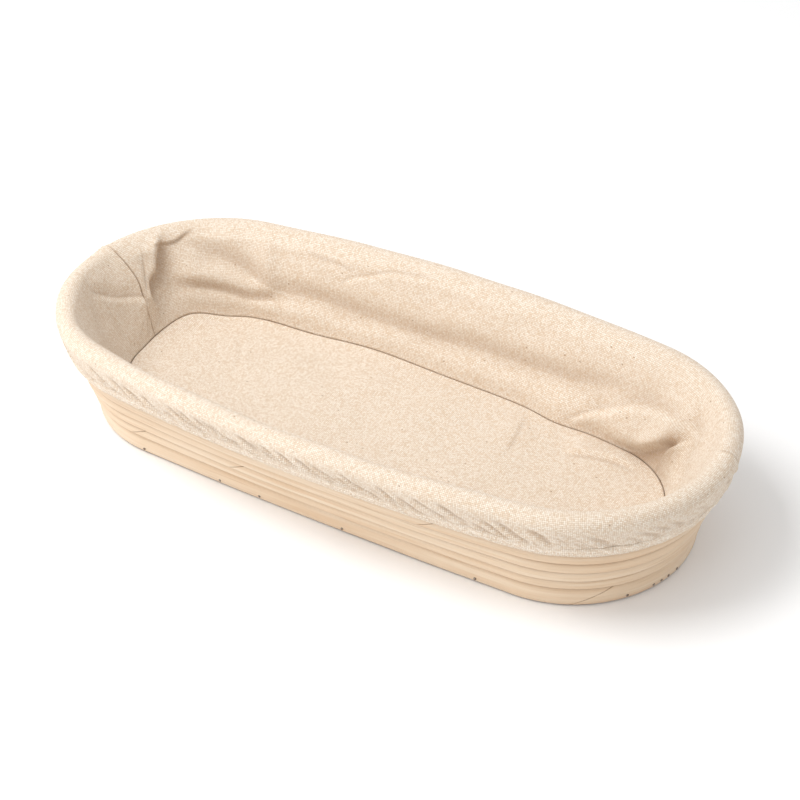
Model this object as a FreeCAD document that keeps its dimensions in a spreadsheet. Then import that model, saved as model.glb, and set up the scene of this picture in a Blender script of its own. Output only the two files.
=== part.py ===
import FreeCAD, Part
import math
import os
import Sketcher

V = FreeCAD.Vector
doc = FreeCAD.newDocument("Banneton")

# Driving dimensions in millimetres. Half sizes run from the centre of the basket outwards.
values = {
    # foot: the tall lowest turn of the wall, which the basket stands on
    "footHalfLength": 172.5,
    "footHalfWidth": 66.0,
    "footEndRadius": 64.35,
    "footRise": 11.5,
    # wall: turns of cane, each set a little further out than the one below
    "turnRise": 6.5,
    "lengthStep": 1.857,
    "widthStep": 2.5,
    "endRadiusStep": 1.607,
    "caneWidth": 7.0,
    "caneBevel": 1.2,
    "caneBevelRise": 2.0,
    # rim: one stouter cane, shaved flat where it is seated; half sizes from its middle
    "rimHalfLength": 187.9,
    "rimHalfWidth": 86.4,
    "rimEndRadius": 77.1,
    "rimMiddle": 59.7,
    "rimCaneHalf": 3.7,
    "rimCaneWaist": 0.4,
    "rimSeat": 57.0,
    "rimSeatHalf": 2.8,
    "rimTop": 63.0,
    "rimTopHalf": 1.4,
    # base: flat turns round a centre strip
    "basePitch": 7.9,
    "baseRise": 6.5,
    "baseBevel": 1.3,
    # scarf joints: the sloped cut where the two ends of a turn meet
    "scarfGap": 0.5,
    "scarfRun": 14.0,
    # pins
    "basePinRadius": 0.8,
    "basePinLength": 20.0,
    "basePinHeight": 3.0,
    "basePinProud": 0.1,
    "wallPinRadius": 0.6,
    "wallPinLength": 8.0,
    # liner: a bag that rolls over the rim
    "clothThickness": 1.2,
    "rollRadius": 5.8,
    "linerLean": 0.4986,
    "floorHeight": 15.0,
    "skirtBottom": 47.5,
    "skirtHalfLength": 186.6,
    "skirtHalfWidth": 83.3,
    "skirtEndRadius": 76.8,
    # hem: a flat tube of cloth with an elastic band in it
    "hemHalfLength": 183.8,
    "hemHalfWidth": 80.5,
    "hemEndRadius": 74.3,
    "hemBottom": 40.5,
    "hemLean": 0.39,
    "hemThickness": 2.6,
    "hemCloth": 0.8,
}
sizes = doc.addObject("Spreadsheet::Sheet", "Sizes")
for row, (alias, value) in enumerate(values.items(), start=1):
    sizes.set("A%d" % row, alias)
    sizes.set("B%d" % row, repr(value))
    sizes.setAlias("B%d" % row, alias)
doc.recompute()

WALL_TURNS = 7
BASE_TURNS = 7
WALL_PINS_PER_TURN = 4

# Where each wall turn's scarf starts, in millimetres along the side from the middle
SCARF_STARTS = [60.0, -96.0, -128.0, 30.0, -40.0, 84.0, -70.0, 10.0]
RIM_SCARF_START = 120.0

# Fractions of the way round the foot at which a pin is driven, and how far the wall pins of
# each joint are turned from those of the joint below
BASE_PIN_PLACES = [0.03, 0.12, 0.20, 0.28, 0.37, 0.46, 0.475, 0.54, 0.62, 0.68, 0.71, 0.77,
                   0.86, 0.951, 0.969, 0.975, 0.981, 0.989]
WALL_PIN_TURN = 0.37


class Size:
    """A length kept both as a number and as the expression of sheet cells that gives it."""

    def __init__(self, number, text):
        self.number = number
        self.text = text

    def joined(self, sign, other, number):
        text = other.text if isinstance(other, Size) else repr(other)
        return Size(number, "(%s %s %s)" % (self.text, sign, text))

    def __add__(self, other):
        return self.joined("+", other, self.number + plain(other))

    def __sub__(self, other):
        return self.joined("-", other, self.number - plain(other))

    def __mul__(self, other):
        return self.joined("*", other, self.number * plain(other))

    def __truediv__(self, other):
        return self.joined("/", other, self.number / plain(other))

    def __neg__(self):
        return Size(-self.number, "(-1 * %s)" % self.text)

    def root(self):
        return Size(math.sqrt(self.number), "sqrt(%s)" % self.text)


def plain(term):
    return term.number if isinstance(term, Size) else term


def cell(alias):
    return Size(values[alias], "Sizes." + alias)


class Oval:
    """An oval of four tangent arcs: two end arcs and two long, flatter side arcs."""

    def __init__(self, half_length, half_width, end_radius):
        self.half_length = half_length
        self.half_width = half_width
        self.end_radius = end_radius

    def grown(self, step):
        return Oval(self.half_length + step, self.half_width + step, self.end_radius + step)

    def side_radius(self):
        reach = self.half_length - self.end_radius
        bulge = self.half_width - self.end_radius
        return reach * reach / (bulge * 2) + (self.half_width + self.end_radius) / 2

    def edges(self):
        """Corners where the arcs meet, each with the radius of the arc that starts there."""
        side = self.side_radius()
        reach = self.half_length - self.end_radius
        span = side - self.end_radius
        x = reach * side / span
        y = self.end_radius * (span * span - reach * reach).root() / span
        return [(x, y, side), (-x, y, self.end_radius),
                (-x, -y, side), (x, -y, self.end_radius)]

    def point(self, turn, inset=0.0):
        """A point at the given fraction of the way round, moved inwards, and the way out."""
        side = self.side_radius().number
        end = self.end_radius.number
        reach = self.half_length.number - end
        sweep = math.asin(reach / (side - end))
        drop = math.sqrt((side - end) ** 2 - reach ** 2)
        lengths = [end * (math.pi / 2 - sweep), side * 2 * sweep, end * (math.pi - 2 * sweep),
                   side * 2 * sweep, end * (math.pi / 2 - sweep)]
        centres = [(reach, 0.0), (0.0, -drop), (-reach, 0.0), (0.0, drop), (reach, 0.0)]
        starts = [0.0, math.pi / 2 - sweep, math.pi / 2 + sweep,
                  3 * math.pi / 2 - sweep, 3 * math.pi / 2 + sweep]
        radii = [end, side, end, side, end]
        along = turn % 1.0 * sum(lengths)
        arc = 0
        while arc < 4 and along > lengths[arc]:
            along -= lengths[arc]
            arc += 1
        angle = starts[arc] + along / radii[arc]
        out = V(math.cos(angle), math.sin(angle), 0)
        return V(centres[arc][0], centres[arc][1], 0) + out * (radii[arc] - inset), out


def plane_of(body, role):
    return next(item for item in body.Origin.OriginFeatures if item.Role == role)


def fix_point(sketch, edge, end, x, y, name):
    """Binds one end of an edge to its coordinates."""
    for kind, term, axis in (("DistanceX", x, -2), ("DistanceY", y, -1)):
        if abs(term.number) < 1e-9:
            sketch.addConstraint(Sketcher.Constraint("PointOnObject", edge, end, axis))
            continue
        label = name + kind[-1]
        if term.number > 0:
            rule = Sketcher.Constraint(kind, -1, 1, edge, end, term.number)
        else:
            rule = Sketcher.Constraint(kind, edge, end, -1, 1, -term.number)
            term = -term
        index = sketch.addConstraint(rule)
        sketch.renameConstraint(index, label)
        sketch.setExpression("Constraints." + label, term.text)


def draw(sketch, corners):
    """Draws a closed outline. A corner is (x, y, radius of the edge that starts there or None).

    A positive radius turns the way the outline runs, which is anticlockwise, and a negative
    one turns against it.
    """
    ends = []
    count = len(corners)
    for i in range(count):
        x, y, radius = corners[i]
        start = V(x.number, y.number, 0)
        following = corners[(i + 1) % count]
        finish = V(following[0].number, following[1].number, 0)
        if radius is None:
            edge = sketch.addGeometry(Part.LineSegment(start, finish), False)
            ends.append((edge, 1, 2))
            continue
        bend = radius.number
        chord = finish - start
        left = V(-chord.y, chord.x, 0).normalize()
        rise = math.sqrt(bend * bend - chord.Length ** 2 / 4)
        centre = (start + finish) * 0.5 + left * math.copysign(rise, bend)
        first, last = (start, finish) if bend > 0 else (finish, start)
        begin = math.atan2(first.y - centre.y, first.x - centre.x)
        stop = math.atan2(last.y - centre.y, last.x - centre.x)
        circle = Part.Circle(centre, V(0, 0, 1), abs(bend))
        edge = sketch.addGeometry(Part.ArcOfCircle(circle, begin, stop), False)
        ends.append((edge, 1, 2) if bend > 0 else (edge, 2, 1))
    for i in range(count):
        edge, start_end, finish_end = ends[i]
        next_edge, next_start = ends[(i + 1) % count][:2]
        sketch.addConstraint(Sketcher.Constraint("Coincident", edge, finish_end,
                                                 next_edge, next_start))
    for i in range(count):
        x, y, radius = corners[i]
        edge, start_end = ends[i][:2]
        name = "p%d" % i
        fix_point(sketch, edge, start_end, x, y, name)
        if radius is not None:
            term = radius if radius.number > 0 else -radius
            index = sketch.addConstraint(Sketcher.Constraint("Radius", edge, term.number))
            sketch.renameConstraint(index, name + "Radius")
            sketch.setExpression("Constraints.%sRadius" % name, term.text)


def new_sketch(body, name, role, height=None):
    sketch = body.newObject("Sketcher::SketchObject", name)
    sketch.AttachmentSupport = (plane_of(body, role), [""])
    sketch.MapMode = "FlatFace"
    if height is not None:
        sketch.setExpression(".AttachmentOffset.Base.z", height.text)
    return sketch


def new_body(label):
    body = doc.addObject("PartDesign::Body", label + "_body")
    body.Label = label
    return body


def sweep(body, oval, corners):
    """Carries a section, drawn in the XZ plane, all the way round an oval."""
    spine = new_sketch(body, body.Label + "_spine", "XY_Plane")
    draw(spine, oval.edges())
    section = new_sketch(body, body.Label + "_section", "XZ_Plane")
    draw(section, corners)
    doc.recompute()
    pipe = body.newObject("PartDesign::AdditivePipe", body.Label + "_pipe")
    pipe.Profile = section
    pipe.Spine = (spine, ["Edge1", "Edge2", "Edge3", "Edge4"])
    doc.recompute()
    body.Tip = pipe
    return body


def band(oval, bottom, top, width):
    """The section of one turn of cane: bevelled outside, flat where it is stacked."""
    bevel = cell("caneBevel")
    rise = cell("caneBevelRise")
    outside = oval.half_length
    return [(outside - bevel, bottom, None), (outside, bottom + rise, None),
            (outside, top - rise, None), (outside - bevel, top, None),
            (outside - width, top, None), (outside - width, bottom, None)]


def flat_band(oval, width, rise):
    """The section of one flat turn of the base, bevelled along its outer edges."""
    bevel = cell("baseBevel")
    outside = oval.half_length
    zero = rise * 0
    return [(outside - bevel, zero, None), (outside, bevel, None),
            (outside, rise - bevel, None), (outside - bevel, rise, None),
            (outside - width, rise, None), (outside - width, zero, None)]


def hollow(body, corners):
    """Takes a second section out of a ring, along the same oval."""
    spine = doc.getObject(body.Label + "_spine")
    section = new_sketch(body, body.Label + "_hollow", "XZ_Plane")
    draw(section, corners)
    doc.recompute()
    pipe = body.newObject("PartDesign::SubtractivePipe", body.Label + "_hollow_pipe")
    pipe.Profile = section
    pipe.Spine = (spine, ["Edge1", "Edge2", "Edge3", "Edge4"])
    doc.recompute()
    body.Tip = pipe
    return body


def cut(body, name, role, corners, reverse=False, both=False):
    sketch = new_sketch(body, body.Label + "_" + name, role)
    draw(sketch, corners)
    doc.recompute()
    pocket = body.newObject("PartDesign::Pocket", body.Label + "_" + name + "_cut")
    pocket.Profile = sketch
    pocket.Type = "ThroughAll"
    if both:
        pocket.SideType = "Symmetric"
    else:
        pocket.Reversed = reverse
    doc.recompute()
    body.Tip = pocket
    return body


def upright_scarf(body, start, bottom, top, far_side):
    """Cuts the sloped gap between the ends of a wall turn, on one long side."""
    gap = cell("scarfGap")
    run = cell("scarfRun")
    low = bottom - 1
    high = top + 1
    left = run * 0 + start
    corners = [(left, low, None), (left + gap, low, None),
               (left + run + gap, high, None), (left + run, high, None)]
    return cut(body, "scarf", "XZ_Plane", corners, reverse=not far_side)


def flat_scarf(body, start, oval, width, far_side):
    """Cuts the sloped gap between the ends of a base turn, on one long side."""
    gap = cell("scarfGap")
    run = cell("scarfRun")
    left = run * 0 + start
    inner = oval.half_width - width - 1
    outer = oval.half_width + 1
    corners = [(left, inner, None), (left + gap, inner, None),
               (left + run + gap, outer, None), (left + run, outer, None)]
    if not far_side:
        corners = [(x, -y, radius) for x, y, radius in reversed(corners)]
    return cut(body, "scarf", "XY_Plane", corners, both=True)


def half(body, keep_front):
    """Takes away the half of a ring on one side of the XZ plane."""
    reach = cell("rimHalfLength") + 20
    zero = reach * 0
    corners = [(-reach, zero, None), (reach, zero, None), (reach, reach, None),
               (-reach, reach, None)]
    if not keep_front:
        corners = [(x, y - reach, radius) for x, y, radius in corners]
    return cut(body, "half", "XY_Plane", corners, both=True)


parts = []

# Wall turns
foot = Oval(cell("footHalfLength"), cell("footHalfWidth"), cell("footEndRadius"))
wall_ovals = [foot]
wall_spans = [(cell("footRise") * 0, cell("footRise"))]
for i in range(1, WALL_TURNS + 1):
    wall_ovals.append(Oval(foot.half_length + cell("lengthStep") * i,
                           foot.half_width + cell("widthStep") * i,
                           foot.end_radius + cell("endRadiusStep") * i))
    wall_spans.append((cell("footRise") + cell("turnRise") * (i - 1),
                       cell("footRise") + cell("turnRise") * i))

for i, (oval, (bottom, top)) in enumerate(zip(wall_ovals, wall_spans)):
    body = new_body("foot_turn" if i == 0 else "wall_turn_%d" % i)
    section = band(oval, bottom, top, cell("caneWidth"))
    sweep(body, oval, section)
    parts.append(upright_scarf(body, SCARF_STARTS[i], bottom, top, far_side=i % 2 == 1))


# Rim turn: the stoutest cane, seated on the top turn of the wall
rim = Oval(cell("rimHalfLength"), cell("rimHalfWidth"), cell("rimEndRadius"))
rim_centre = rim.half_length - cell("rimCaneHalf")
rim_section = []
for side, height in (("rimSeatHalf", cell("rimSeat")),
                     ("rimCaneHalf", cell("rimMiddle") + cell("rimCaneWaist")),
                     ("rimTopHalf", cell("rimTop"))):
    rim_section.append((rim_centre + cell(side), height, None))
for x, height, radius in reversed(rim_section[:]):
    rim_section.append((rim_centre * 2 - x, height, None))
body = sweep(new_body("rim_turn"), rim, rim_section)
parts.append(upright_scarf(body, RIM_SCARF_START, cell("rimSeat"), cell("rimTop"), True))

# Base turns, from the foot inwards, and the centre strip
base_oval = foot.grown(cell("caneWidth") * -1)
for i in range(1, BASE_TURNS + 1):
    oval = base_oval.grown(cell("basePitch") * (1 - i))
    body = new_body("base_turn_%d" % i)
    section = flat_band(oval, cell("basePitch"), cell("baseRise"))
    sweep(body, oval, section)
    parts.append(flat_scarf(body, 70.0 - 35.0 * (i % 4), oval, cell("basePitch"), i % 2 == 0))

strip_oval = base_oval.grown(cell("basePitch") * -BASE_TURNS)
body = new_body("centre_strip")
outline = new_sketch(body, "centre_strip_outline", "XY_Plane")
draw(outline, strip_oval.edges())
doc.recompute()
pad = body.newObject("PartDesign::Pad", "centre_strip_pad")
pad.Profile = outline
pad.setExpression("Length", "Sizes.baseRise")
doc.recompute()
body.Tip = pad
parts.append(body)


def pin(name, radius_cell, length_cell, start, direction):
    prism = doc.addObject("Part::Prism", name)
    prism.Polygon = 6
    prism.setExpression("Circumradius", "Sizes." + radius_cell)
    prism.setExpression("Height", "Sizes." + length_cell)
    prism.Placement = FreeCAD.Placement(start, FreeCAD.Rotation(V(0, 0, 1), direction))
    return prism


def pin_group(label, pins):
    group = doc.addObject("Part::Compound", label + "_group")
    group.Links = pins
    group.Label = label
    return group


# Base pins run level through the foot turn into the two outer base turns
pins = []
for i, place in enumerate(BASE_PIN_PLACES):
    point, out = foot.point(place)
    start = point + out * values["basePinProud"] + V(0, 0, values["basePinHeight"])
    pins.append(pin("base_pin_%d" % i, "basePinRadius", "basePinLength", start, -out))
parts.append(pin_group("base_pins", pins))

# Wall pins stand upright through the joint between each turn and the next
pins = []
joint_heights = [top.number for bottom, top in wall_spans]
above = wall_ovals[1:] + [rim]
for i, height in enumerate(joint_heights):
    for j in range(WALL_PINS_PER_TURN):
        turn = (j + WALL_PIN_TURN * i) / WALL_PINS_PER_TURN
        low, out = wall_ovals[i].point(turn, inset=values["caneWidth"] / 2)
        high, out = above[i].point(turn, inset=values["caneWidth"] / 2)
        middle = (low + high) * 0.5
        start = V(middle.x, middle.y, height - values["wallPinLength"] / 2)
        pins.append(pin("wall_pin_%d_%d" % (i, j), "wallPinRadius", "wallPinLength",
                        start, V(0, 0, 1)))
parts.append(pin_group("wall_pins", pins))

# Liner: side panels that rise from the floor seam, roll over the rim and end at its widest
cloth = cell("clothThickness")
roll = cell("rollRadius")
lean = cell("linerLean")
slant = (lean * lean + 1).root()
half_turn = Size(math.sqrt(0.5), "sqrt(0.5)")
roll_oval = rim.grown(roll - cell("rimCaneHalf"))
roll_height = cell("rimMiddle")
floor_top = cell("floorHeight") + cloth


def roll_points(reach):
    """The line of one face of the cloth, from the floor seam up and over the rim."""
    touch = (rim_centre - reach / slant, roll_height + reach * lean / slant)
    low = touch[0] - (touch[1] - floor_top) * lean
    return [(low, floor_top, None), (touch[0], touch[1], None),
            (rim_centre, roll_height + reach, None),
            (rim_centre + reach * half_turn, roll_height + reach * half_turn, None),
            (rim_centre + reach, roll_height, None)]


bag_section = roll_points(roll - cloth) + list(reversed(roll_points(roll)))
for label, front in (("liner_front_panel", True), ("liner_back_panel", False)):
    body = sweep(new_body(label), roll_oval, bag_section)
    parts.append(half(body, front))

# Liner floor: the oval panel that the side panels are sewn to
floor_step = bag_section[0][0] - roll_oval.half_length
floor_oval = roll_oval.grown(floor_step)
body = new_body("liner_floor")
outline = new_sketch(body, "liner_floor_outline", "XY_Plane", cell("floorHeight"))
draw(outline, floor_oval.edges())
doc.recompute()
pad = body.newObject("PartDesign::Pad", "liner_floor_pad")
pad.Profile = outline
pad.setExpression("Length", "Sizes.clothThickness")
doc.recompute()
body.Tip = pad
parts.append(body)


def loft(body, kind, name, low, low_height, high, high_height):
    """Joins two level ovals with straight walls, to add or to take away."""
    lower = new_sketch(body, body.Label + "_" + name + "_low", "XY_Plane", low_height)
    draw(lower, low.edges())
    upper = new_sketch(body, body.Label + "_" + name + "_high", "XY_Plane", high_height)
    draw(upper, high.edges())
    doc.recompute()
    feature = body.newObject("PartDesign::" + kind + "Loft", body.Label + "_" + name)
    feature.Profile = lower
    feature.Sections = [upper]
    feature.Ruled = True
    doc.recompute()
    body.Tip = feature


# Skirt: the side panels go on down outside the wall, drawn in by the elastic
skirt_oval = Oval(cell("skirtHalfLength"), cell("skirtHalfWidth"), cell("skirtEndRadius"))
for label, front in (("skirt_front", True), ("skirt_back", False)):
    body = new_body(label)
    loft(body, "Additive", "outside", skirt_oval, cell("skirtBottom"), roll_oval, roll_height)
    loft(body, "Subtractive", "inside", skirt_oval.grown(-cloth), cell("skirtBottom"),
         roll_oval.grown(-cloth), roll_height)
    parts.append(half(body, front))

# Hem casing and the elastic band that runs inside it
hem_oval = Oval(cell("hemHalfLength"), cell("hemHalfWidth"), cell("hemEndRadius"))
hem_middle = (cell("hemBottom") + cell("skirtBottom")) / 2


def hem_strip(inner, outer, bottom, top):
    """A leaning strip, between two distances from the inner face of the hem."""
    corners = []
    for step, height in ((inner, bottom), (outer, bottom), (outer, top), (inner, top)):
        x = hem_oval.half_length + step + (height - hem_middle) * cell("hemLean")
        corners.append((x, height, None))
    return corners


hem_cloth = cell("hemCloth")
hem_thickness = cell("hemThickness")
hem_bottom = cell("hemBottom")
hem_top = cell("skirtBottom")
casing = hem_strip(hem_cloth * 0, hem_thickness, hem_bottom, hem_top)
pocket = hem_strip(hem_cloth, hem_thickness - hem_cloth, hem_bottom + hem_cloth,
                   hem_top - hem_cloth)
parts.append(hollow(sweep(new_body("hem_casing"), hem_oval, casing), pocket))
elastic = hem_strip(hem_cloth + 0.1, hem_thickness - hem_cloth - 0.1,
                    hem_bottom + hem_cloth + 0.2, hem_top - hem_cloth - 0.2)
parts.append(sweep(new_body("elastic_band"), hem_oval, elastic))

doc.recompute()
for item in doc.Objects:
    if "Invalid" in item.State or "Error" in item.State:
        raise RuntimeError("%s did not rebuild: %s" % (item.Label, item.State))
for part in parts:
    if part.Shape.isNull() or not part.Shape.isValid():
        raise RuntimeError("%s has no valid shape" % part.Label)

os.makedirs("parts", exist_ok=True)
for part in parts:
    part.Shape.exportStep("parts/%s.step" % part.Label)
    print(part.Label, len(part.Shape.Solids), round(part.Shape.Volume))
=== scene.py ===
import math
import bmesh
import bpy
import numpy as np
from mathutils import Matrix, Vector


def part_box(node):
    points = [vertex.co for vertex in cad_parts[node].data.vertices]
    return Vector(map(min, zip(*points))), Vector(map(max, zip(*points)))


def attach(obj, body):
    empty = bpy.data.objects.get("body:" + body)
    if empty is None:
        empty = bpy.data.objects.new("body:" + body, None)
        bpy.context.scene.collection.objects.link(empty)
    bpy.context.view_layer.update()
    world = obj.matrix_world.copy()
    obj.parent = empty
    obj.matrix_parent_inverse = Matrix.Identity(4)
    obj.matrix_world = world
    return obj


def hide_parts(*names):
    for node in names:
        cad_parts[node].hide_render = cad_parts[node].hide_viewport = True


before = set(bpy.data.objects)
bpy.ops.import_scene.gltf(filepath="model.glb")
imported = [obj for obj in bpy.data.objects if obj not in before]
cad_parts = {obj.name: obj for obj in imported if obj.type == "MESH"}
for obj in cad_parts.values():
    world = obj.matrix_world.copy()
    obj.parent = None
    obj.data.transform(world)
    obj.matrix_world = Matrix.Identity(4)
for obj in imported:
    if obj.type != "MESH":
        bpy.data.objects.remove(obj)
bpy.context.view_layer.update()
print("frame loaded:", len(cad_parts), "nodes")

# ovals
# Every turn of cane and every station of the liner follows an oval of four tangent arcs:
# two end arcs of radius endRadius and two flatter side arcs. Lengths are in metres.


def sideArc(oval):
    # the side radius follows from the half sizes; drop is how far its centre lies past the long axis
    a, b, r = oval
    reach = a - r
    side = (reach * reach + b * b - r * r) / (2 * (b - r))
    span = side - r
    return reach, side, math.asin(reach / span), math.sqrt(span * span - reach * reach)


def normalAngles(oval, s):
    # direction of the outward normal at fraction s of the way round, from +X towards +Y
    reach, side, sweep, drop = sideArc(oval)
    r = oval[2]
    end = math.pi / 2 - sweep
    lengths = np.array([r * end, side * 2 * sweep, r * 2 * end, side * 2 * sweep, r * end])
    angles = np.array([end, 2 * sweep, 2 * end, 2 * sweep, end])
    return np.interp(np.mod(s, 1.0), np.r_[0, np.cumsum(lengths)] / lengths.sum(),
                     np.r_[0, np.cumsum(angles)])


def perimeter(oval):
    reach, side, sweep, drop = sideArc(oval)
    return 4 * (oval[2] * (math.pi / 2 - sweep) + side * sweep)


def ovalPoints(oval, theta):
    # the point whose outward normal is (cos theta, sin theta): on an end arc that is the arc's
    # centre plus the end radius along the normal, on a side arc the same with the side radius
    reach, side, sweep, drop = sideArc(oval)
    c, s = np.cos(theta), np.sin(theta)
    onSide = np.abs(c) < math.sin(sweep)
    x = np.where(onSide, side * c, np.sign(c) * reach + oval[2] * c)
    y = np.where(onSide, side * s - np.sign(s) * drop, oval[2] * s)
    return x, y


def ovalGap(oval, x, y):
    # how far a point lies outside the oval: its distance from the centre of the arc that faces it,
    # less that arc's radius
    reach, side, sweep, drop = sideArc(oval)
    ax, ay = np.abs(x), np.abs(y)
    onSide = ax * math.cos(sweep) < (ay + drop) * math.sin(sweep)
    return np.where(onSide, np.hypot(ax, ay + drop) - side, np.hypot(ax - reach, ay) - oval[2])


def slideToOval(oval, x, y, theta):
    # moves points along (cos theta, sin theta) until they lie on the oval
    for again in range(4):
        gap = ovalGap(oval, x, y)
        x, y = x - gap * np.cos(theta), y - gap * np.sin(theta)
    return x, y


def mixOval(first, second, t):
    return tuple(p + (q - p) * t for p, q in zip(first, second))


def grownOval(oval, step):
    return tuple(p + step for p in oval)


# sizes shared by the cane and the cloth, taken from the solids
def halfSizes(node):
    low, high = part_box(node)
    return (high[0] - low[0]) / 2, (high[1] - low[1]) / 2


footHalf = halfSizes("foot_turn")
topHalf = halfSizes("wall_turn_7")
rimHalf = halfSizes("rim_turn")
bagLow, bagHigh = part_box("liner_front_panel")
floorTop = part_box("liner_floor")[1][2]
hemLow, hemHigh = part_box("hem_casing")
linerTop = bagHigh[2]
outerHalf = (bagHigh[0], -bagLow[1])

# an oval's end radius is less than half its width, and the rounder it is the more
endDrop = {"foot": 0.00165, "top": 0.0079, "rim": 0.0093}
footOval = (*footHalf, footHalf[1] - endDrop["foot"])
topOval = (*topHalf, topHalf[1] - endDrop["top"])
rimOval = (*rimHalf, rimHalf[1] - endDrop["rim"])
rollOval = (*outerHalf, outerHalf[1] - endDrop["rim"])


# meshes
def gridMesh(name, points, uv, closeU=False, closeV=False, layers=None, flip=False):
    # points is an array of rows by columns; closeU joins the last column to the first, closeV the
    # rows. Then uv has one more of each, so that no pattern runs backwards over the join, unless it
    # is flat and comes back to where it began. flip turns every face over.
    rows, columns = points.shape[:2]
    index = np.arange(rows * columns).reshape(rows, columns)
    if closeU:
        index = np.c_[index, index[:, :1]]
    if closeV:
        index = np.r_[index, index[:1]]
    if uv.shape[1] < index.shape[1]:
        uv = np.concatenate([uv, uv[:, :1]], 1)
    corners = [(slice(None, -1), slice(None, -1)), (slice(None, -1), slice(1, None)),
               (slice(1, None), slice(1, None)), (slice(1, None), slice(None, -1))]
    if flip:
        corners.reverse()
    quads = np.stack([index[place] for place in corners], -1).reshape(-1, 4)
    table = np.stack([uv[place] for place in corners], -2)
    mesh = bpy.data.meshes.new(name)
    mesh.vertices.add(rows * columns)
    mesh.vertices.foreach_set("co", points.reshape(-1).astype(np.float32))
    mesh.loops.add(quads.size)
    mesh.loops.foreach_set("vertex_index", quads.reshape(-1).astype(np.int32))
    mesh.polygons.add(len(quads))
    mesh.polygons.foreach_set("loop_start", np.arange(0, quads.size, 4, dtype=np.int32))
    mesh.update(calc_edges=True)
    layer = mesh.uv_layers.new(name="UVMap")
    layer.data.foreach_set("uv", table.reshape(-1).astype(np.float32))
    for label, values in (layers or {}).items():
        attribute = mesh.attributes.new(label, "FLOAT", "POINT")
        attribute.data.foreach_set("value", values.reshape(-1).astype(np.float32))
    mesh.polygons.foreach_set("use_smooth", np.ones(len(quads), bool))
    # open edges are sharp, so that a rim added later doesn't bend the shading beside them
    ends = np.empty(len(mesh.edges) * 2, np.int32)
    mesh.edges.foreach_get("vertices", ends)
    row, column = np.divmod(ends.reshape(-1, 2), columns)
    sharp = np.zeros(len(mesh.edges), bool)
    if not closeV:
        sharp |= (row == 0).all(1) | (row == rows - 1).all(1)
    if not closeU:
        sharp |= (column == 0).all(1) | (column == columns - 1).all(1)
    mesh.attributes.new("sharp_edge", "BOOLEAN", "EDGE").data.foreach_set("value", sharp)
    mesh.update()
    return mesh


def weld(mesh):
    # joins points that lie on one another, as where rings close on a line
    made = bmesh.new()
    made.from_mesh(mesh)
    bmesh.ops.remove_doubles(made, verts=made.verts, dist=2e-5)
    made.to_mesh(mesh)
    made.free()
    mesh.update()


def placePiece(name, mesh, material, body, nodes=()):
    piece = bpy.data.objects.new(name, mesh)
    bpy.context.scene.collection.objects.link(piece)
    mesh.materials.append(material)
    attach(piece, body)
    if nodes:
        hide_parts(*nodes)
    return piece


def thicken(piece, thickness):
    solid = piece.modifiers.new("thickness", "SOLIDIFY")
    solid.thickness = thickness
    solid.offset = -1


def waves(s, seed, counts, amplitude):
    # a smooth uneven line round the basket: a sum of whole-number waves with seeded phases
    random = np.random.default_rng(seed)
    total = np.zeros_like(s)
    for count in counts:
        total += random.normal() * np.sin(2 * np.pi * (count * s + random.random())) / math.sqrt(count)
    return amplitude * total


def bell(x, width):
    return np.exp(-(x / width) ** 2)


def smoothStep(x, low, high):
    t = np.clip((x - low) / (high - low), 0, 1)
    return t * t * (3 - 2 * t)


# materials
def newMaterial(name):
    material = bpy.data.materials.new(name)
    material.use_nodes = True
    tree = material.node_tree
    return material, tree, tree.nodes["Principled BSDF"]


def addNode(tree, kind, **settings):
    node = tree.nodes.new(kind)
    for key, value in settings.items():
        if key in node.inputs:
            node.inputs[key].default_value = value
        else:
            setattr(node, key, value)
    return node


def feed(tree, slots, values):
    # a socket is linked to its slot, and anything else is set on it
    for slot, value in zip(slots, values):
        if isinstance(value, bpy.types.NodeSocket):
            tree.links.new(value, slot)
        else:
            slot.default_value = value


def mathNode(tree, operation, *values):
    node = addNode(tree, "ShaderNodeMath", operation=operation)
    feed(tree, node.inputs, values)
    return node.outputs[0]


def vectorNode(tree, operation, *values):
    node = addNode(tree, "ShaderNodeVectorMath", operation=operation)
    feed(tree, node.inputs, values)
    return node.outputs[0]


def mixNode(tree, factor, first, second, kind="RGBA"):
    node = addNode(tree, "ShaderNodeMix", data_type=kind)
    one, two, out = {"RGBA": (6, 7, 2), "FLOAT": (2, 3, 0)}[kind]
    feed(tree, (node.inputs[0], node.inputs[one], node.inputs[two]), (factor, first, second))
    return node.outputs[out]


def rampNode(tree, value, low, high, top=1.0):
    # rises from 0 at low to top at high
    node = addNode(tree, "ShaderNodeMapRange")
    feed(tree, node.inputs, (value, low, high, 0.0, top))
    return node.outputs[0]


def noiseNode(tree, vector, scale, **settings):
    # one scale is the same every way, three draw the noise out
    if isinstance(scale, tuple):
        vector, scale = vectorNode(tree, "MULTIPLY", vector, scale), 1.0
    node = addNode(tree, "ShaderNodeTexNoise", Scale=scale, **settings)
    tree.links.new(vector, node.inputs["Vector"])
    return node.outputs


def addBump(tree, shader, height, strength, distance):
    bump = addNode(tree, "ShaderNodeBump", Strength=strength, Distance=distance)
    tree.links.new(height, bump.inputs["Height"])
    tree.links.new(bump.outputs[0], shader.inputs["Normal"])


def linear(red, green, blue):
    # display values from 0 to 255 to the scene's linear ones
    def one(value):
        value /= 255
        return value / 12.92 if value <= 0.04045 else ((value + 0.055) / 1.055) ** 2.4
    return (one(red), one(green), one(blue), 1)


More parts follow.
